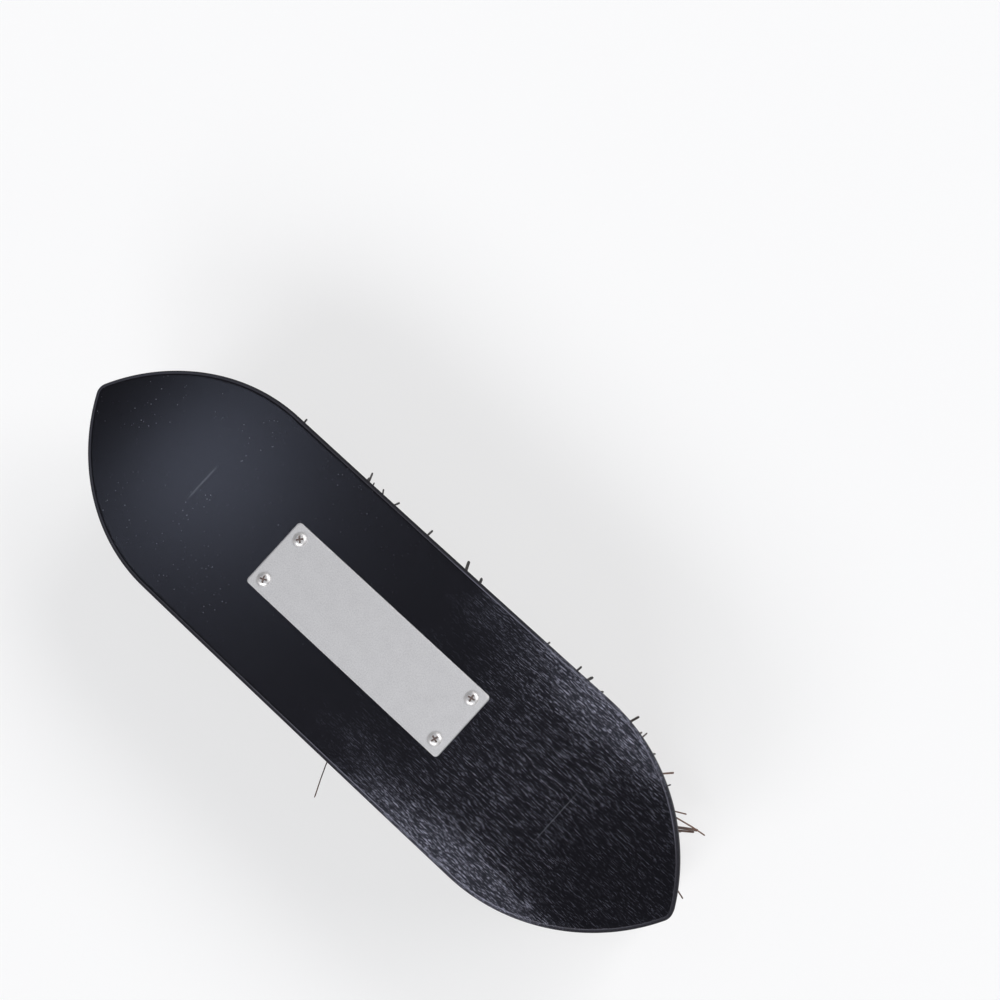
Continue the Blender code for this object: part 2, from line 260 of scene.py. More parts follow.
# Where the lacquer is worn along and across the block, and how much of the pale grain colour shows there,
# from 0 to 1: partly wood showing through, partly painted glints and sheen of the lamps on the grain,
# strongest on the right half and in the bands at its long edges. Patches of noise stir both bounds. The share
# slants across the block, and lasts longer in the bands at its edges, where a faint haze of painted sheen
# also lies.
PATCH_SCALE = 60.0
PATCHES_ALONG, PATCHES_ACROSS = 0.05, 0.008
WEAR_AND_SHEEN_SLANT, BAND_LAG = -0.15, -0.015
WEAR_AND_SHEEN_BAND = (0.020, 0.034)
WEAR_AND_SHEEN_STARTS = (0.028, 0.078)
WEAR_AND_SHEEN_FADES = (0.086, 0.118)
LEFT_WEAR_AND_SHEEN, TIP_WEAR_AND_SHEEN, MIDDLE_WEAR_AND_SHEEN, WALL_WEAR_AND_SHEEN = 0.02, 0.35, 0.45, 0.25
WALL_TURNS = (0.30, 0.90)
PAINTED_SHEEN_HAZE = (0.03, 0.07)

# Features of the grain to the metre along, across and up, and the values of the noise at which they show.
GRAIN_SCALES, BREAK_SCALES = (300, 6800, 6800), (950, 3200, 3200)
GRAIN_SHOWS, BREAKS_SHOW, BREAKS_LEAST = (0.52, 0.70), (0.42, 0.62), 0.12
BAND_GRAIN = 0.07

# The edge's crest and its bend each lie between two soft bounds of the upward part of the normal. On the
# right half the crest carries a painted highlight line, and at the left end the bend carries a little painted
# sheen.
CREST_FROM, CREST_TO = (0.92, 0.955), (0.965, 0.990)
CREST_STARTS, CREST_FADES, CREST_HIGHLIGHT = (0.0, 0.060), (0.090, 0.120), 0.42
# The bend's pale share is painted sheen, most of it at the left end.
BEND_FROM, BEND_TO = (0.74, 0.84), (0.955, 0.990)
BEND_FADES, BEND_SHEEN = (-0.065, -0.025), (0.085, 0.02)

# Specks of dust: their lattice, sizes and chances, the drifts that gather them, how they thin out along the
# block, and how far upwards the lacquer has to face for them to lie.
DUST_PALE = (0.22, 0.23, 0.26, 1.0)
DUST_SCALE, SPECK_SIZES, SPECK_CHANCES = 1050.0, (0.06, 0.19), (0.45, 1.0)
DRIFT_SCALE, DRIFT_SHOWS, DRIFT_LEAST = 70.0, (0.46, 0.60), 0.12
DUST_ALONG, DUST_SHARES = (-0.06, 0.01), (0.85, 0.04)
DUST_LIES = (0.7, 0.98)

# Each scratch: the place of its middle in plan, its length across the block, its width and its depth. It
# fades from a share of its length off its middle.
SCRATCH_FADES = 0.2
SCRATCHES = (
    (-0.0652, 0.0007, 0.0150, 0.0009, 0.23),
    (0.0684, -0.0006, 0.0210, 0.0003, 0.30),
)


def quarter_ring(inset):
    """A quarter of the block's outline from the nose to a side's middle, moved in by an inset per point.

    It is a nose arc about a centre on the X axis, an end arc about a centre beyond the X axis, and a
    straight side. The inset shortens both radii. Past the nose's own radius, the nose is the point where
    the two end arcs meet.
    """
    inset = np.broadcast_to(inset, (inset.shape[0], NOSE_STEPS + ARC_STEPS + SIDE_STEPS + 1))
    at_nose, at_arc, at_side = np.split(inset, [NOSE_STEPS, NOSE_STEPS + ARC_STEPS], axis=1)
    share_nose = np.arange(NOSE_STEPS) / NOSE_STEPS
    share_arc = np.arange(ARC_STEPS) / ARC_STEPS
    share_side = np.arange(SIDE_STEPS + 1) / SIDE_STEPS
    reach = END_ARC - np.maximum(at_nose, NOSE)
    touch = np.arcsin(ARC_CENTRE_Y / reach)
    nose = np.maximum(NOSE - at_nose, 0.0)
    nose_x = ARC_CENTRE_X + reach * np.cos(touch) + nose * np.cos(touch * share_nose)
    nose_y = nose * np.sin(touch * share_nose)
    start = np.arcsin(ARC_CENTRE_Y / (END_ARC - np.maximum(at_arc, NOSE)))
    turn = start + (math.pi / 2 - start) * share_arc
    arc_x = ARC_CENTRE_X + (END_ARC - at_arc) * np.cos(turn)
    arc_y = (END_ARC - at_arc) * np.sin(turn) - ARC_CENTRE_Y
    side_x = ARC_CENTRE_X * (1 - share_side) + 0 * at_side
    return np.hstack([nose_x, arc_x, side_x]), np.hstack([nose_y, arc_y, HALF_WIDTH - at_side])


def all_round(quarter, past_y_axis, past_x_axis):
    """A quarter's values carried round the ring, times a sign past the Y axis and one past the X axis."""
    half = np.hstack([quarter, past_y_axis * quarter[:, -2::-1]])
    return np.hstack([half, past_x_axis * half[:, -2:0:-1]])


def block_grid():
    """Rings of points from the middle of the back, over its edge, down the wall and back under to the middle.

    The upper edge is two arcs that meet at the edge's turn, the outer one tighter. The lower one is a
    quarter circle. The crown lowers the back by the sixth power of the distance along, and what is under it
    in step with its own height over the underside. Past the place where the ends start, each is shifted
    along and pinched by its own amounts times the square of the distance past that place. Both bend a
    little to +Y, by the square of the distance along. The back's rings crowd towards its edge, so that its
    shading stays flat up to there.
    """
    inwards = np.linspace(1, 0, BACK_ROWS, endpoint=False)[:, None] ** 2
    turn = np.linspace(0, math.pi / 2, EDGE_ROWS + 1)[:, None]
    inner, outer = np.minimum(turn, EDGE_TURN), np.maximum(turn, EDGE_TURN)
    edge = EDGE_RADIUS * (math.sin(EDGE_TURN) - np.sin(inner)) + EDGE_LOWER_RADIUS * (1 - np.sin(outer))
    fall = EDGE_RADIUS * (1 - np.cos(inner)) + EDGE_LOWER_RADIUS * (math.cos(EDGE_TURN) - np.cos(outer))
    down = np.linspace(0, 1, WALL_ROWS + 1)[1:-1, None]
    low_turn = np.linspace(0, math.pi / 2, LOWER_EDGE_ROWS + 1)[:, None]
    under = np.linspace(0, 1, UNDER_ROWS + 1)[1:, None]
    foot = UNDERSIDE + LOWER_EDGE
    insets = [
        edge[0] + (HALF_WIDTH - edge[0]) * inwards,
        edge,
        0 * down,
        LOWER_EDGE * (1 - np.cos(low_turn)),
        LOWER_EDGE + (HALF_WIDTH - LOWER_EDGE) * under,
    ]
    heights = [
        BACK + 0 * inwards,
        BACK - fall,
        BACK - fall[-1] + (foot - BACK + fall[-1]) * down,
        foot - LOWER_EDGE * np.sin(low_turn),
        UNDERSIDE + 0 * under,
    ]
    x, y = quarter_ring(np.vstack(insets))
    crown = END_CROWN / (BACK - UNDERSIDE) * (x / HALF_LENGTH) ** 6
    z = UNDERSIDE + (np.vstack(heights) - UNDERSIDE) * (1 - crown)
    x, y, z = all_round(x, -1, 1), all_round(y, 1, -1), all_round(z, 1, 1)
    past = np.clip((np.abs(x) - ENDS_START) / (HALF_LENGTH - ENDS_START), 0, 1) ** 2
    shifted = x + past * np.where(x < 0, *END_SHIFTS)
    pinched = y * (1 - past * np.where(x < 0, *END_PINCHES))
    return np.stack([shifted, pinched + BEND * (x / HALF_LENGTH) ** 2, z], axis=-1)


def grid_faces(rows, around):
    """Quads between each ring of points and the next, which face out where the rings run downwards."""
    row, place = np.meshgrid(np.arange(rows - 1), np.arange(around), indexing="ij")
    beside = (place + 1) % around
    upper, lower = row * around, (row + 1) * around
    corners = [upper + place, lower + place, lower + beside, upper + beside]
    return np.stack(corners, axis=-1).reshape(-1, 4).tolist()


def close_up(piece, sharp_edge):
    """Joins coincident points, turns the faces outwards and shades all smooth but edges past the angle."""
    bm = bmesh.new()
    bm.from_mesh(piece.data)
    bmesh.ops.remove_doubles(bm, verts=bm.verts, dist=MERGE_DISTANCE)
    bmesh.ops.recalc_face_normals(bm, faces=bm.faces)
    bm.to_mesh(piece.data)
    bm.free()
    piece.data.shade_smooth()
    piece.data.set_sharp_from_angle(angle=math.radians(sharp_edge))


def drill(piece, places, radius, low, high):
    """Cuts round upright holes through the piece between two heights."""
    bm = bmesh.new()
    for x, y in places:
        middle = Matrix.Translation((x, y, (low + high) / 2))
        size = {"radius1": radius, "radius2": radius, "depth": high - low}
        bmesh.ops.create_cone(bm, cap_ends=True, segments=HOLE_SIDES, matrix=middle, **size)
    mesh = bpy.data.meshes.new("drill")
    bm.to_mesh(mesh)
    bm.free()
    bits = bpy.data.objects.new("drill", mesh)
    bpy.context.scene.collection.objects.link(bits)
    cut = piece.modifiers.new("drill", "BOOLEAN")
    cut.object = bits
    cut.solver = "EXACT"
    drilled = piece.evaluated_get(bpy.context.evaluated_depsgraph_get())
    mesh = bpy.data.meshes.new_from_object(drilled)
    piece.modifiers.clear()
    piece.data = mesh
    bpy.data.objects.remove(bits)


def tuft_places(row):
    """The tufts across a row: four and five in turn along the straight sides, and fewer at the ends."""
    x = row * ROW_PITCH
    past = max(0.0, abs(x) - ARC_CENTRE_X)
    room = max(0.0, math.sqrt((END_ARC - TUFT_MARGIN) ** 2 - past**2) - ARC_CENTRE_Y)
    count = round(2 * room / TUFT_PITCH) + 1
    if abs(x) < ARC_CENTRE_X and row % 2 == 0:
        count -= 1
        room -= TUFT_PITCH / 2
    if count < 2:
        return [(x, 0.0)]
    return [(x, room * (2 * k / (count - 1) - 1)) for k in range(count)]


def screw_places():
    """The screws' places, one near each corner of the plate."""
    return [
        (x, y)
        for x in (PLATE_LOW.x + SCREW_INSET, PLATE_HIGH.x - SCREW_INSET)
        for y in (PLATE_LOW.y + SCREW_INSET, PLATE_HIGH.y - SCREW_INSET)
    ]


def scratch_mark(tree, places, x, y, length, width, depth):
    """A scratch across the block: deep on its line, and fading over its width and towards its ends."""
    aside = add_node(tree, "VectorMath", {0: places, 1: (x, y, BACK)}, operation="SUBTRACT").outputs[0]
    aside = add_node(tree, "VectorMath", {0: aside}, operation="ABSOLUTE").outputs[0]
    apart = add_node(tree, "SeparateXYZ", {"Vector": aside}).outputs
    line = span(tree, apart["X"], 0.0, width / 2, depth, 0.0)
    reach = span(tree, apart["Y"], length * SCRATCH_FADES, length / 2, 1.0, 0.0)
    return times(tree, line, reach)


def plus(tree, value, amount, other):
    """A value, plus another one times an amount."""
    return add_node(tree, "Math", {0: other, 1: amount, 2: value}, operation="MULTIPLY_ADD").outputs[0]


def drawn_noise(tree, places, scales, detail, roughness=0.5):
    """Noise drawn out along an axis, with so many features to the metre along X, Y and Z."""
    drawn = add_node(tree, "Mapping", {"Vector": places, "Scale": scales}).outputs["Vector"]
    noise = {"Vector": drawn, "Scale": 1.0, "Detail": detail, "Roughness": roughness}
    return add_node(tree, "TexNoise", noise).outputs["Fac"]


def press_relief(tree, shader, height, strength, distance):
    """Gives the finish a fine relief from a height."""
    relief = add_node(tree, "Bump", {"Height": height, "Strength": strength, "Distance": distance})
    tree.links.new(relief.outputs["Normal"], shader.inputs["Normal"])


def grain_and_painted_sheen(tree, places, facing):
    """How far the wood shows through the lacquer, from 0 to 1.

    This share is partly wood showing through thin lacquer and partly painted glints, sheen and highlight. The
    lacquer is whole at the left end and thins towards the right, most of all in a band along each long edge,
    where the pale marks and a faint haze also stand for painted glints and sheen of the lamps on the grain.
    Short grain marks come through it where two noises are both high, fainter on the walls. A painted
    highlight line runs along the crest of the rounded edge on the right half, and a little painted sheen lies
    on its bend at the left end. Walls, crest and bend are found by the upward part of the surface's normal.
    """
    patches = clouds(tree, places, PATCH_SCALE, detail=3.0)
    sides = add_node(tree, "SeparateXYZ", {"Vector": places}).outputs
    off_middle = add_node(tree, "Math", {0: sides["Y"]}, operation="ABSOLUTE").outputs[0]
    band = span(tree, plus(tree, off_middle, PATCHES_ACROSS, patches), *WEAR_AND_SHEEN_BAND)
    along = plus(tree, sides["X"], PATCHES_ALONG, patches)
    starts = span(tree, plus(tree, along, WEAR_AND_SHEEN_SLANT, sides["Y"]), *WEAR_AND_SHEEN_STARTS, LEFT_WEAR_AND_SHEEN)
    fades = span(tree, plus(tree, along, BAND_LAG, band), *WEAR_AND_SHEEN_FADES, 1.0, TIP_WEAR_AND_SHEEN)
    in_band = span(tree, band, 0.0, 1.0, MIDDLE_WEAR_AND_SHEEN, 1.0, smooth=False)
    on_back = span(tree, facing, *WALL_TURNS, WALL_WEAR_AND_SHEEN, 1.0)
    grain = plus(tree, drawn_noise(tree, places, GRAIN_SCALES, detail=1.0, roughness=0.6), BAND_GRAIN, band)
    breaks = drawn_noise(tree, places, BREAK_SCALES, detail=2.0, roughness=0.6)
    flecks_and_glints = times(tree, span(tree, grain, *GRAIN_SHOWS), span(tree, breaks, *BREAKS_SHOW, BREAKS_LEAST))
    # Grain marks and haze: partly grain, partly painted glints and sheen in the bands along the long edges.
    shown_and_sheen = most(tree, flecks_and_glints, span(tree, band, 0.0, 1.0, *PAINTED_SHEEN_HAZE))
    shown_and_sheen = times(tree, shown_and_sheen, starts, fades, in_band, on_back)
    # A painted highlight line along the crest of the edge on the right half, where the lamps shine on it.
    crest = times(tree, span(tree, facing, *CREST_FROM), span(tree, facing, *CREST_TO, 1.0, 0.0))
    crest_highlight = span(tree, along, *CREST_STARTS, 0.0, CREST_HIGHLIGHT)
    crest_highlight = times(tree, crest_highlight, span(tree, along, *CREST_FADES, 1.0, 0.0))
    # Painted sheen on the edge's bend, most at the left end, lifts the dark band that the edge shows there.
    bend = times(tree, span(tree, facing, *BEND_FROM), span(tree, facing, *BEND_TO, 1.0, 0.0))
    bend_sheen = span(tree, along, *BEND_FADES, *BEND_SHEEN)
    return most(tree, shown_and_sheen, times(tree, crest, crest_highlight), times(tree, bend, bend_sheen))


def lacquer_finish():
    """Thin black lacquer over lengthwise grain, polished on the back and dull past the edges.

    Where the lacquer wears through, the wood stands proud and paler, and the same pale share also paints
    glints, sheen and a highlight line on the edge. Specks of dust, by the distance from the points of a
    random lattice, lie on the back only. They have drifted together, most of them at the left end. Two
    scratches cross the back.
    """
    made, tree, shader, places = new_finish("black_lacquer")
    normal = add_node(tree, "NewGeometry", {}).outputs["Normal"]
    facing = add_node(tree, "SeparateXYZ", {"Vector": normal}).outputs["Z"]
    left = add_node(tree, "SeparateXYZ", {"Vector": places}).outputs["X"]
    worn_and_sheen = grain_and_painted_sheen(tree, places, facing)
    lattice = add_node(tree, "TexVoronoi", {"Vector": places, "Scale": DUST_SCALE}).outputs
    chance = add_node(tree, "SeparateColor", {"Color": lattice["Color"]}).outputs["Red"]
    specks = span(tree, lattice["Distance"], *SPECK_SIZES, 1.0, 0.0)
    drifts = span(tree, clouds(tree, places, DRIFT_SCALE, detail=2.0), *DRIFT_SHOWS, DRIFT_LEAST)
    specks = times(tree, specks, span(tree, chance, *SPECK_CHANCES), drifts)
    specks = times(tree, specks, span(tree, left, *DUST_ALONG, *DUST_SHARES), span(tree, facing, *DUST_LIES))
    marks = most(tree, specks, *[scratch_mark(tree, places, *scratch) for scratch in SCRATCHES])
    # The pale grain colour here is partly wood showing through and partly painted glints, sheen and edge
    # highlight.
    tint = mixed(tree, marks, mixed(tree, worn_and_sheen, LACQUER_BLACK, GRAIN_AND_PAINTED_GLINT), DUST_PALE)
    tree.links.new(tint, shader.inputs["Base Color"])
    sheen = span(tree, worn_and_sheen, 0.0, 1.0, POLISHED, RUBBED, smooth=False)
    sheen = plus(tree, sheen, 1.0, span(tree, facing, *DULL_FROM, EDGE_DULLS, 0.0))
    tree.links.new(sheen, shader.inputs["Roughness"])
    press_relief(tree, shader, worn_and_sheen, strength=0.8, distance=GRAIN_RELIEF)
    shader.inputs["Specular Tint"].default_value = LACQUER_TINT
    return made


black_lacquer = lacquer_finish()
block_points = block_grid()
block_faces = grid_faces(block_points.shape[0], block_points.shape[1])
block = new_piece("lacquered_block", block_points, block_faces, black_lacquer)
close_up(block, SHARP_EDGE)
rows_of_tufts = [tuft_places(row) for row in range(-ROWS_TO_A_SIDE, ROWS_TO_A_SIDE + 1)]
all_tufts = [place for row in rows_of_tufts for place in row]
drill(block, all_tufts, TUFT_HOLE, UNDERSIDE - TUFT_HOLE_DEPTH, UNDERSIDE + TUFT_HOLE_DEPTH)
drill(block, screw_places(), PILOT_HOLE, BACK - PILOT_DEPTH, BACK + PILOT_DEPTH)
close_up(block, SHARP_EDGE)
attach(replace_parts(block, "brush_block"), "root")

# The plate is a rectangle of thin sheet metal with round corners, blanked out, drilled near its corners and
# blasted to a fine grain. Its upper edge is broken all round. It is bare, and four screws hold it flat on
# the block's back.
PLATE_CORNER = 0.0011
PLATE_BEVEL = 0.00035
PLATE_GAP = 0.00005
PLATE_CORNER_STEPS = 10
PLATE_SIDE_STEPS = 12
PLATE_BEVEL_ROWS = 2
PLATE_BEVEL_SLOPE = 0.8
PLATE_HOLE = 0.0011
PLATE_METAL = (0.77, 0.766, 0.77, 1.0)
PLATE_DULL = (0.63, 0.626, 0.634, 1.0)
PLATE_PITS, PLATE_CLOUDS, CLOUD_SHARE = 3000.0, 240.0, 0.35
PLATE_MOTTLE = (0.42, 0.93)
PLATE_ROUGHNESS = (0.60, 0.72)
PIT_RELIEF = 0.00005
PLATE_MIDDLE = ((PLATE_LOW.x + PLATE_HIGH.x) / 2, (PLATE_LOW.y + PLATE_HIGH.y) / 2)
PLATE_FOOT = BACK + PLATE_GAP


def plate_ring(inset):
    """The plate's outline moved inwards: corner arcs, whose radius loses the inset, and straight sides."""
    half_x = (PLATE_HIGH.x - PLATE_LOW.x) / 2 - PLATE_CORNER
    half_y = (PLATE_HIGH.y - PLATE_LOW.y) / 2 - PLATE_CORNER
    turn = np.linspace(0, math.pi / 2, PLATE_CORNER_STEPS + 1)
    share = np.arange(1, PLATE_SIDE_STEPS + 1) / PLATE_SIDE_STEPS
    up_share = np.arange(PLATE_SIDE_STEPS) / PLATE_SIDE_STEPS
    radius = PLATE_CORNER - inset
    corner_x = half_x + radius * np.cos(turn)
    corner_y = half_y + radius * np.sin(turn)
    x = np.hstack([half_x + radius + 0 * up_share, corner_x, half_x * (1 - share) + 0 * inset])
    y = np.hstack([half_y * up_share + 0 * inset, corner_y, half_y + radius + 0 * share])
    return x, y


def plate_grid():
    """Rings from under the plate's edge, up its wall and over a flat bevel on to its face."""
    share = np.linspace(0, 1, PLATE_BEVEL_ROWS + 1)[:, None]
    insets = np.vstack([[[0.0]], PLATE_BEVEL * share])
    heights = np.vstack([[[PLATE_FOOT]], PLATE_HIGH.z - PLATE_BEVEL * PLATE_BEVEL_SLOPE * (1 - share)])
    x, y = plate_ring(insets)
    z = heights + 0 * x
    x = PLATE_MIDDLE[0] + all_round(x, -1, 1)
    y = PLATE_MIDDLE[1] + all_round(y, 1, -1)
    return np.stack([x, y, all_round(z, 1, 1)], axis=-1)


def plate_finish():
    """Blasted metal: a fine grain of dull and bright pits, clouded a little where hands have dulled it."""
    made, tree, shader, places = new_finish("satin_plate")
    pits = clouds(tree, places, PLATE_PITS, detail=2.0)
    mottle = plus(tree, pits, CLOUD_SHARE, clouds(tree, places, PLATE_CLOUDS, detail=3.0))
    tint = mixed(tree, span(tree, mottle, *PLATE_MOTTLE, smooth=False), PLATE_METAL, PLATE_DULL)
    tree.links.new(tint, shader.inputs["Base Color"])
    gloss = span(tree, mottle, *PLATE_MOTTLE, *PLATE_ROUGHNESS, smooth=False)
    tree.links.new(gloss, shader.inputs["Roughness"])
    press_relief(tree, shader, pits, strength=0.3, distance=PIT_RELIEF)
    shader.inputs["Metallic"].default_value = 1.0
    return made


plate_points = plate_grid()
plate_rows, plate_around = plate_points.shape[:2]
plate_faces = [face[::-1] for face in grid_faces(plate_rows, plate_around)]
plate_faces.append(list(range(plate_around))[::-1])
plate_faces.append(list(range((plate_rows - 1) * plate_around, plate_rows * plate_around)))
plate = new_piece("satin_plate", plate_points, plate_faces, plate_finish())
close_up(plate, SHARP_EDGE)
drill(plate, screw_places(), PLATE_HOLE, BACK - PLATE_CORNER, PLATE_HIGH.z + PLATE_CORNER)
close_up(plate, SHARP_EDGE)
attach(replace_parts(plate, "name_plate"), "root")

# Each screw is turned from steel wire and plated: a flat pan head with a cross recess, on a threaded shank
# that runs down through the plate into its pilot hole in the wood. The recess is coloured darker and browner,
# and less metallic, the deeper it goes.
HEAD_RADIUS = 0.00195
HEAD_HEIGHT = 0.00085
HEAD_RIM = 0.0003
HEAD_SEAT = PLATE_HIGH.z
RECESS_LENGTH = 0.0011
RECESS_HALF_WIDTH = 0.0003
RECESS_DEPTH = 0.0004
RECESS_SLOPE = 0.00022
SHANK_CORE = 0.00078
THREAD_HEIGHT = 0.0002
THREAD_PITCH = 0.0009
SHANK_LENGTH = 0.0081
POINT_LENGTH = 0.002
HEAD_ROWS, SHANK_ROWS, SCREW_STEPS = 40, 72, 96
SCREW_TURN = math.radians(25)
SCREW_STEEL = (0.77, 0.755, 0.75, 1.0)
RECESS_DARK = (0.22, 0.17, 0.155, 1.0)
RUB_SCALE, RUB_SHARE = 1500.0, 0.5
RECESS_DARK_SHOWS, RECESS_DARK_METAL = (0.35, 0.9), 0.45
SCREW_ROUGHNESS = (0.38, 0.58)


def screw_grid(place, turned):
    """Rings from the crown of the head down to the point, and how deep each point is in the recess, 0 to 1.

    The head falls from its middle by the fourth power of the distance out, to a short upright rim. The
    recess is as deep as its distance from the cross's sides allows, along a steep slope. The thread is a
    sine ridge that climbs one pitch a turn, and fades out at the point.
    """
    turn = np.linspace(0, 2 * math.pi, SCREW_STEPS, endpoint=False)[None, :]
    rise = np.linspace(0, math.pi / 2, HEAD_ROWS)[:, None]
    head_r = HEAD_RADIUS * np.sin(rise) + 0 * turn
    head_z = HEAD_RIM + (HEAD_HEIGHT - HEAD_RIM) * (1 - np.sin(rise) ** 4) + 0 * turn
    x, y = head_r * np.cos(turn), head_r * np.sin(turn)
    arms = [(np.abs(x), np.abs(y)), (np.abs(y), np.abs(x))]
    wings = [np.minimum(RECESS_LENGTH - along, RECESS_HALF_WIDTH - across) for along, across in arms]
    recess_share = np.clip(np.maximum(*wings) / RECESS_SLOPE, 0, 1)
    head_z = head_z - RECESS_DEPTH * recess_share
    down = np.linspace(0, SHANK_LENGTH, SHANK_ROWS)[:, None]
    left = np.clip((SHANK_LENGTH - down) / POINT_LENGTH, 0, 1)
    ridge = THREAD_HEIGHT * (0.5 + 0.5 * np.cos(2 * math.pi * down / THREAD_PITCH + turn)) ** 2
    shank_r = (SHANK_CORE + ridge) * left
    rim_r = np.full_like(turn, HEAD_RADIUS)
    radius = np.vstack([head_r, rim_r, shank_r])
    height = np.vstack([head_z, 0 * turn, -down + 0 * turn])
    depth = np.vstack([recess_share, 0 * rim_r, 0 * shank_r])
    spun = turn + turned
    points = [place[0] + radius * np.cos(spun), place[1] + radius * np.sin(spun), HEAD_SEAT + height]
    return np.stack(points, axis=-1), depth


def screw_finish():
    """Plated steel, dark and dull in the recess, by the attribute that holds the recess's depth."""
    made, tree, shader, places = new_finish("screw_steel")
    depth = add_node(tree, "Attribute", {}, attribute_name="recess").outputs["Fac"]
    rub = clouds(tree, places, RUB_SCALE, detail=3.0)
    # Darker and browner with the recess's depth, stirred by a cloud.
    recess_share = span(tree, plus(tree, depth, RUB_SHARE, rub), *RECESS_DARK_SHOWS, smooth=False)
    tree.links.new(mixed(tree, recess_share, SCREW_STEEL, RECESS_DARK), shader.inputs["Base Color"])
    gloss = span(tree, rub, 0.0, 1.0, *SCREW_ROUGHNESS, smooth=False)
    tree.links.new(gloss, shader.inputs["Roughness"])
    bright = span(tree, recess_share, 0.0, 1.0, 1.0, RECESS_DARK_METAL, smooth=False)
    tree.links.new(bright, shader.inputs["Metallic"])
    return made


screw_steel = screw_finish()
for number, screw_place in enumerate(screw_places(), start=1):
    screw_points, recess_depth = screw_grid(screw_place, number * SCREW_TURN)
    screw = new_piece(f"screw_{number}", screw_points, grid_faces(*recess_depth.shape), screw_steel)
    screw.data.attributes.new("recess", "FLOAT", "POINT").data.foreach_set("value", recess_depth.ravel())
    close_up(screw, SHARP_EDGE)
    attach(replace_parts(screw, f"plate_screw_{number}"), "root")

# Each tuft is a bundle of thirty stiff root fibres of uneven thickness, set in a drilled hole. They fan out
# below it, bend and clump together, and were cut level at the floor. The rows at the block's ends lean
# outwards.
FIBRES_IN_TUFT = 30
FIBRE_RADIUS = 0.00042
FIBRE_RADIUS_SPREAD = 0.0001
FIBRE_THINNEST, FIBRE_THICKEST = 0.0002, 0.00065
FIBRE_RINGS, FIBRE_SIDES = 8, 6
FIBRE_SIDE_WANDER = 0.14
ROOTED_DEPTH = 0.003
GOLDEN_TURN = math.pi * (3 - math.sqrt(5))
TIP_FAN = 2.0
LEFT_SPLAY = 0.0145
RIGHT_SPLAY = 0.0065
SIDE_SPLAY = 0.004
SIDE_LIMIT = 0.031
LEFT_OVERHANG = 0.0035
RIGHT_OVERHANGS = (-0.0018, 0.0018)
RAGGED = 0.0008
TIP_WANDER = 0.0006
TUFT_WANDER = 0.0012
CLUMP_WAVES, CLUMP_SIZE, CLUMP_PULL = 9, 0.0045, 0.0005
CLUMP_SPREAD = (0.75, 1.4)
BOW = 0.0009
WAVE, WAVES_ALONG = 0.00018, 2.2
TURN_POWER = 1.6
UNEVEN_TIPS = 0.0013
TIP_LOWEST, TIP_HIGHEST = 0.0, 0.0045
ASTRAY_SHARE, ASTRAY_REACH = 0.03, 0.003
FIBRE_SEED = 23
FIBRE_TONES = (
    (0.00, (0.0050, 0.0023, 0.0018)),
    (0.24, (0.0105, 0.0056, 0.0044)),
    (0.50, (0.0222, 0.0110, 0.0085)),
    (0.67, (0.0560, 0.0270, 0.0175)),
    (0.78, (0.1150, 0.0580, 0.0375)),
    (0.90, (0.2200, 0.1130, 0.0740)),
)
# The copper towards the tips is partly the fibre's colour and partly a painted highlight.
FIBRE_COPPER = (0.270, 0.115, 0.058, 1.0)
CUT_PALE = (0.66, 0.46, 0.34, 1.0)
CUT_DARK = (0.36, 0.20, 0.13, 1.0)
STREAK_SCALES, STREAK_TONE, STREAK_RELIEF = (1500, 1500, 260), 0.18, 0.0001
COPPER_FROM, COPPER_SHARE = 0.75, 0.45
FIBRE_ROUGHNESS = (0.35, 0.65)
FIBRE_SHINE = 0.2

# Fibres that show past the block's edge from above, placed one by one: the tip's place in plan and its
# height, the fibre's heading, as an angle from +X, its thickness, and its tone from black at 0 to palest at
# 1.
STRAY_LEAN = 0.010
ASIDE_WEIGHT = 4
# The tones are partly the fibres' own and partly painted shade and light: black for fibres in the block's
# shadow along its sides, pale for those lit past its right end.
STRAYS = (
    (-0.0707, 0.0331, 0.008, 130, 0.0006, 0.0),
    (-0.0442, 0.0343, 0.008, 126, 0.0007, 0.0),
    (-0.0440, 0.0326, 0.008, 120, 0.0006, 0.0),
    (-0.0418, 0.0325, 0.008, 120, 0.0005, 0.0),
    (-0.0383, 0.0330, 0.008, 128, 0.0006, 0.0),
    (-0.0320, 0.0332, 0.008, 127, 0.0006, 0.0),
    (-0.0187, 0.0336, 0.008, 129, 0.0007, 0.0),
    (-0.0042, 0.0341, 0.008, 126, 0.0009, 0.0),
    (0.0021, 0.0329, 0.008, 110, 0.0009, 0.0),
    (0.0298, 0.0325, 0.008, 103, 0.0007, 0.0),
    (0.0416, 0.0334, 0.008, 95, 0.0007, 0.0),
    (0.0461, 0.0333, 0.008, 84, 0.0009, 0.0),
    (0.0511, 0.0323, 0.008, 65, 0.0008, 0.0),
    (0.0581, 0.0317, 0.008, 95, 0.0007, 0.0),
    (0.0637, 0.0338, 0.008, 67, 0.0008, 0.1),
    (0.0687, 0.0320, 0.008, 80, 0.0005, 0.3),
    (0.0674, 0.0312, 0.008, 88, 0.0006, 0.3),
    (0.0744, 0.0292, 0.008, 66, 0.0006, 0.0),
    (0.0819, 0.0287, 0.008, 58, 0.0006, 0.7),
    (0.0836, 0.0256, 0.008, 60, 0.0005, 0.0),
    (0.0925, 0.0224, 0.008, 15, 0.0004, 0.7),
    (0.1003, 0.0215, 0.008, 7, 0.0005, 0.78),
    (0.0978, 0.0211, 0.008, 23, 0.0009, 0.62),
    (0.0974, 0.0200, 0.008, 21, 0.0007, 0.66),
    (0.0947, 0.0176, 0.008, 57, 0.0005, 0.0),
    (0.1076, 0.0040, 0.008, -13, 0.0004, 0.6),
    (0.0139, -0.0429, 0.041, -65, 0.0003, 0.6),
)


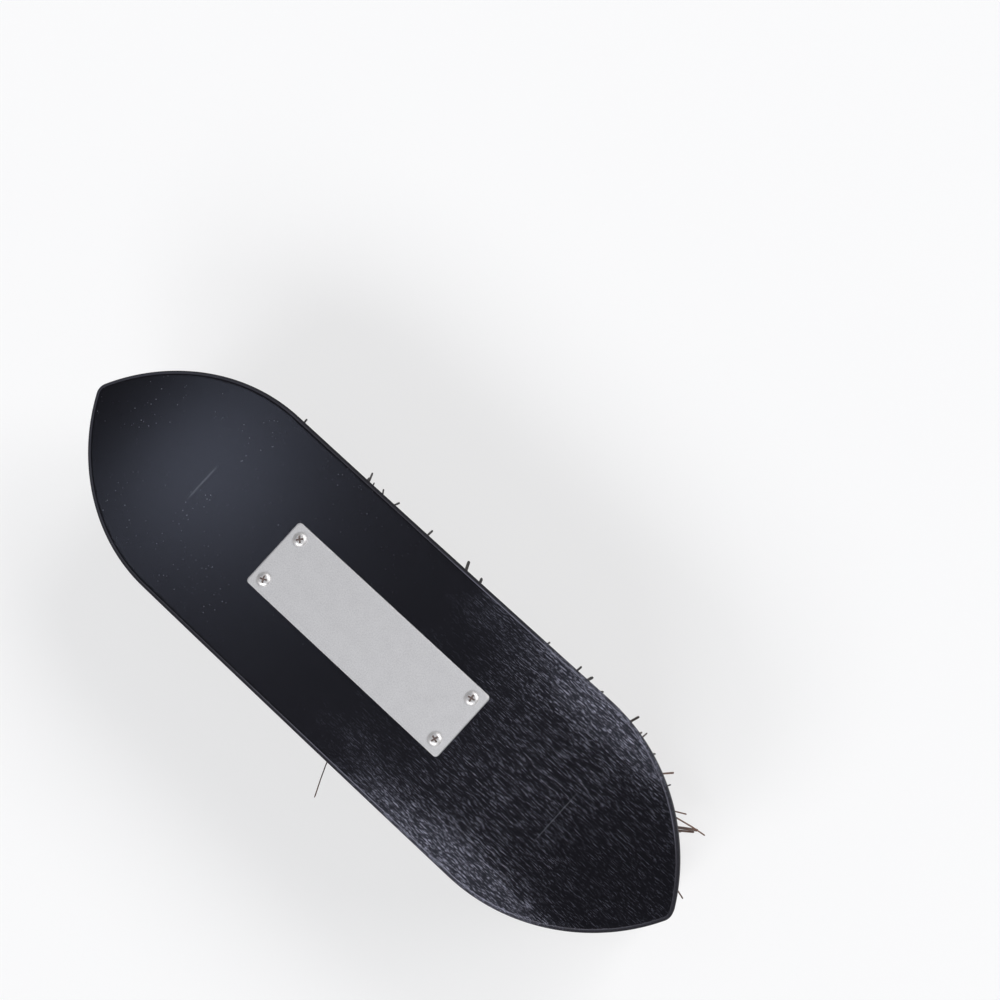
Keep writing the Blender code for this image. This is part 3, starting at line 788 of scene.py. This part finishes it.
def clump(tips, draw):
    """Pulls each tip towards a crest of a random swell, a sum of sine waves of about the clump's size."""
    heading = draw.uniform(0, 2 * math.pi, CLUMP_WAVES)
    number = 2 * math.pi / (CLUMP_SIZE * draw.uniform(*CLUMP_SPREAD, CLUMP_WAVES))
    waves = np.stack([number * np.cos(heading), number * np.sin(heading)])
    slope = np.cos(tips @ waves + draw.uniform(0, 2 * math.pi, CLUMP_WAVES))
    return tips + CLUMP_PULL * slope @ (waves / number).T


def keep_under(tips, draw):
    """Draws the tips in to the block's outline, moved outwards by an overhang.

    The overhang differs from end to end, and at the right end from side to side. Tips at an end are drawn
    in towards the centre of the end arc on their side, to its radius plus the overhang, less a ragged
    amount. No tip passes the limit across the block.
    """
    x, y = tips.T
    overhang = np.where(x < 0, LEFT_OVERHANG, np.where(y > 0, *RIGHT_OVERHANGS))
    overhang = overhang - np.abs(draw.normal(0, RAGGED, len(tips)))
    out_x = np.maximum(np.abs(x) - ARC_CENTRE_X, 0)
    out_y = np.abs(y) + ARC_CENTRE_Y
    pull = np.minimum(1, (END_ARC + overhang) / np.hypot(out_x, out_y))
    inner_x = np.where(np.abs(x) > ARC_CENTRE_X, ARC_CENTRE_X + out_x * pull, np.abs(x))
    inner_y = np.where(np.abs(x) > ARC_CENTRE_X, np.maximum(out_y * pull - ARC_CENTRE_Y, 0), np.abs(y))
    return np.column_stack([np.sign(x) * inner_x, np.sign(y) * np.minimum(inner_y, SIDE_LIMIT)])


def fibre_ends(tufts, draw):
    """Where each fibre starts and ends, and how thick it is.

    A bundle is a sunflower spiral: the distance out grows with the square root of the fibre's number, and
    each fibre is turned by the golden angle from the last. At the tips the bundle is wider by the fan, and
    leans out with the cube of the distance along the block and in proportion to the distance across it.
    """
    number = np.arange(FIBRES_IN_TUFT)
    out = (TUFT_HOLE - FIBRE_RADIUS) * np.sqrt((number + 0.5) / FIBRES_IN_TUFT)
    spiral = np.stack([out * np.cos(GOLDEN_TURN * number), out * np.sin(GOLDEN_TURN * number)], axis=-1)
    turn = draw.uniform(0, 2 * math.pi, (len(tufts), 1, 1))
    swap = np.stack([-spiral[:, 1], spiral[:, 0]], axis=-1)
    offsets = spiral * np.cos(turn) + swap * np.sin(turn)
    roots = (tufts[:, None] + offsets).reshape(-1, 2)
    lean_x = np.where(tufts[:, 0] < 0, LEFT_SPLAY, RIGHT_SPLAY) * (tufts[:, 0] / HALF_LENGTH) ** 3
    lean_y = SIDE_SPLAY * tufts[:, 1] / (HALF_WIDTH - TUFT_MARGIN)
    leans = np.column_stack([lean_x, lean_y]) + draw.normal(0, TUFT_WANDER, tufts.shape)
    tips = ((tufts + leans)[:, None] + TIP_FAN * offsets).reshape(-1, 2)
    tips = clump(tips, draw) + draw.normal(0, TIP_WANDER, tips.shape)
    astray = draw.random((len(tips), 1)) < ASTRAY_SHARE
    tips = tips + astray * draw.normal(0, ASTRAY_REACH, tips.shape)
    tips = keep_under(tips, draw)
    heights = np.clip(np.abs(draw.normal(0, UNEVEN_TIPS, len(tips))), TIP_LOWEST, TIP_HIGHEST)
    radii = np.clip(draw.normal(FIBRE_RADIUS, FIBRE_RADIUS_SPREAD, len(tips)), FIBRE_THINNEST, FIBRE_THICKEST)
    return roots, np.column_stack([tips, heights]), radii


def lead_astray(roots, tips, radii, tones):
    """Gives each stray's tip, thickness and tone to a fibre of its own.

    It is the one whose root is nearest to the place a lean's length behind the tip, where the distance
    aside counts by its weight.
    """
    free = np.ones(len(tips), bool)
    for x, y, height, heading, thickness, tone in STRAYS:
        turn = math.radians(heading)
        behind = (x - roots[:, 0]) * math.cos(turn) + (y - roots[:, 1]) * math.sin(turn)
        aside = (x - roots[:, 0]) * math.sin(turn) - (y - roots[:, 1]) * math.cos(turn)
        nearest = np.argmin(np.hypot(ASIDE_WEIGHT * aside, behind - STRAY_LEAN) + np.where(free, 0, 1))
        tips[nearest] = x, y, height
        radii[nearest] = thickness / 2
        tones[nearest] = tone
        free[nearest] = False


def fibre_mesh(roots, tips, radii, draw):
    """Tubes along bent lines, as points by fibre, ring and side, and the rings' way along from 0 to 1.

    Each line leaves its hole upright and turns towards its tip by a power of the way along. A bow and a
    wave, which vanish at both ends, push it sideways. Each section has uneven sides, and the last is cut
    level at the tip.
    """
    count = len(roots)
    along = np.linspace(0, 1, FIBRE_RINGS)[None, :, None]
    start = np.column_stack([roots, np.full(count, UNDERSIDE + ROOTED_DEPTH)])[:, None]
    end = tips[:, None]
    sideways = along**TURN_POWER
    line = start + (end - start) * np.concatenate([sideways, sideways, along], axis=-1)
    bow = draw.normal(0, BOW, (count, 1, 2)) * 4 * along * (1 - along)
    phase = draw.uniform(0, 2 * math.pi, (count, 1, 2))
    wave = WAVE * np.sin(2 * math.pi * WAVES_ALONG * along + phase) * np.sin(math.pi * along)
    line[..., :2] += bow + wave
    tangent = np.gradient(line, axis=1)
    tangent /= np.linalg.norm(tangent, axis=-1, keepdims=True)
    facing = draw.uniform(0, 2 * math.pi, (count, 1))
    aside = np.stack([np.cos(facing), np.sin(facing), 0 * facing], axis=-1)
    aside = aside - tangent * np.sum(aside * tangent, axis=-1, keepdims=True)
    aside /= np.linalg.norm(aside, axis=-1, keepdims=True)
    across = np.cross(tangent, aside)
    turn = np.linspace(0, 2 * math.pi, FIBRE_SIDES, endpoint=False)
    sides = 1 + draw.uniform(-FIBRE_SIDE_WANDER, FIBRE_SIDE_WANDER, (count, 1, FIBRE_SIDES))
    swell = 1 + draw.uniform(-FIBRE_SIDE_WANDER, FIBRE_SIDE_WANDER, (count, FIBRE_RINGS, 1)) / 2
    reach = (radii[:, None, None] * sides * swell)[..., None]
    ring = aside[:, :, None] * np.cos(turn)[:, None] + across[:, :, None] * np.sin(turn)[:, None]
    points = line[:, :, None] + reach * ring
    rest = (tips[:, None, 2] - points[:, -1, :, 2]) / tangent[:, -1, 2, None]
    points[:, -1] += rest[..., None] * tangent[:, -1, None]
    return points, along


def fibre_faces(count):
    """Each fibre's side quads, ring by ring, and then its two caps, as a list of each kind for all fibres."""
    first = (np.arange(count) * FIBRE_SIDES * FIBRE_RINGS)[:, None]
    side = np.arange(FIBRE_SIDES)
    walls = np.array(grid_faces(FIBRE_RINGS, FIBRE_SIDES)) + first[..., None]
    roots = side + first
    tips = (FIBRE_RINGS - 1) * FIBRE_SIDES + side[::-1] + first
    return walls.reshape(-1, 4).tolist(), roots.tolist(), tips.tolist()


def fibre_finish():
    """Root fibre: black to reddish brown by its tone, more copper to its tip, and paler where it is cut."""
    made, tree, shader, places = new_finish("root_fibre")
    tone = add_node(tree, "Attribute", {}, attribute_name="tone").outputs["Fac"]
    along = add_node(tree, "Attribute", {}, attribute_name="along").outputs["Fac"]
    cut = add_node(tree, "Attribute", {}, attribute_name="cut").outputs["Fac"]
    streak = drawn_noise(tree, places, STREAK_SCALES, detail=2.0)
    waver = span(tree, streak, 0.0, 1.0, -STREAK_TONE, STREAK_TONE, smooth=False)
    shade = add_node(tree, "Math", {0: tone, 1: waver}, operation="ADD", use_clamp=True).outputs[0]
    ramp = add_node(tree, "ValToRGB", {"Fac": shade})
    stops = ramp.color_ramp.elements
    while len(stops) < len(FIBRE_TONES):
        stops.new(1.0)
    for stop, (position, colour) in zip(stops, FIBRE_TONES):
        stop.position = position
        stop.color = (*colour, 1.0)
    # The copper towards each tip is partly the fibre's colour and partly a painted highlight for the light
    # the tips catch.
    tip_copper_and_light = times(tree, span(tree, along, COPPER_FROM, 1.0, 0.0, COPPER_SHARE), tone)
    shaft = mixed(tree, tip_copper_and_light, ramp.outputs["Color"], FIBRE_COPPER)
    tint = mixed(tree, cut, shaft, mixed(tree, tone, CUT_DARK, CUT_PALE))
    tree.links.new(tint, shader.inputs["Base Color"])
    gloss = span(tree, streak, 0.0, 1.0, *FIBRE_ROUGHNESS, smooth=False)
    tree.links.new(gloss, shader.inputs["Roughness"])
    press_relief(tree, shader, streak, strength=0.4, distance=STREAK_RELIEF)
    shader.inputs["Specular IOR Level"].default_value = FIBRE_SHINE
    return made


root_fibre = fibre_finish()
draw = np.random.default_rng(FIBRE_SEED)
fibre_roots, fibre_tips, fibre_radii = fibre_ends(np.array(all_tufts), draw)
fibre_tones = draw.random(len(fibre_tips))
# The strays' tones carry painted shade and light.
lead_astray(fibre_roots, fibre_tips, fibre_radii, fibre_tones)
row_sizes = [len(row) * FIBRES_IN_TUFT for row in rows_of_tufts]
row_starts = np.cumsum([0, *row_sizes])
for number, (first, last) in enumerate(zip(row_starts, row_starts[1:]), start=1):
    fibres = slice(first, last)
    tube_points, tube_along = fibre_mesh(fibre_roots[fibres], fibre_tips[fibres], fibre_radii[fibres], draw)
    walls, root_caps, tip_caps = fibre_faces(last - first)
    row_piece = new_piece(f"fibre_row_{number:02d}", tube_points, walls + root_caps + tip_caps, root_fibre)
    mesh = row_piece.data
    is_wall = np.arange(len(mesh.polygons)) < len(walls)
    mesh.polygons.foreach_set("use_smooth", is_wall)
    tones = np.broadcast_to(fibre_tones[fibres, None, None], tube_points.shape[:3])
    mesh.attributes.new("tone", "FLOAT", "POINT").data.foreach_set("value", tones.ravel())
    ways = np.broadcast_to(tube_along, tube_points.shape[:3])
    mesh.attributes.new("along", "FLOAT", "POINT").data.foreach_set("value", ways.ravel())
    is_cut = (np.arange(len(mesh.polygons)) >= len(walls) + len(root_caps)).astype(float)
    mesh.attributes.new("cut", "FLOAT", "FACE").data.foreach_set("value", is_cut)
    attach(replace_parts(row_piece, f"tuft_row_{number:02d}"), "root")
